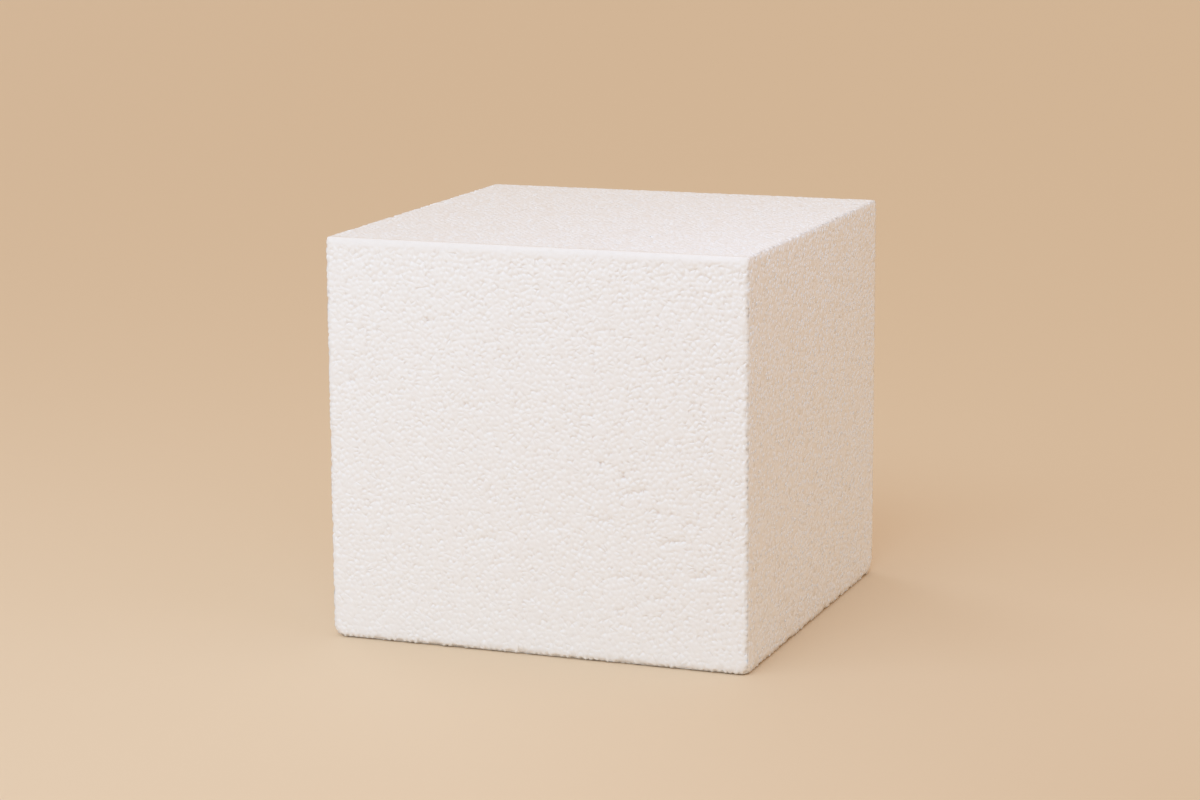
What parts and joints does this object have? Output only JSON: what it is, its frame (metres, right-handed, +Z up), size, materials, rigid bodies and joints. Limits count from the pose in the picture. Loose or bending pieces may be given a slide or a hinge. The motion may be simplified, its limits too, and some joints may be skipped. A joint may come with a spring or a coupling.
{
  "type": "foam block",
  "caption": "Plain square-based block of white expanded polystyrene foam, with flat faces and lightly eased edges, for crafts, packing and as a bench or display riser.",
  "frame": {"origin": "middle of the flat base that the block stands on", "axes": "+Z up through the top face, +X to the right as seen from the front, front face towards -Y"},
  "size_m": [0.152, 0.152, 0.141],
  "materials": {
    "foam": "matte white expanded polystyrene with fused beads about 2 mm across"
  },
  "bodies": {
    "root": {"foam_block": "foam"}
  },
  "joints": []
}
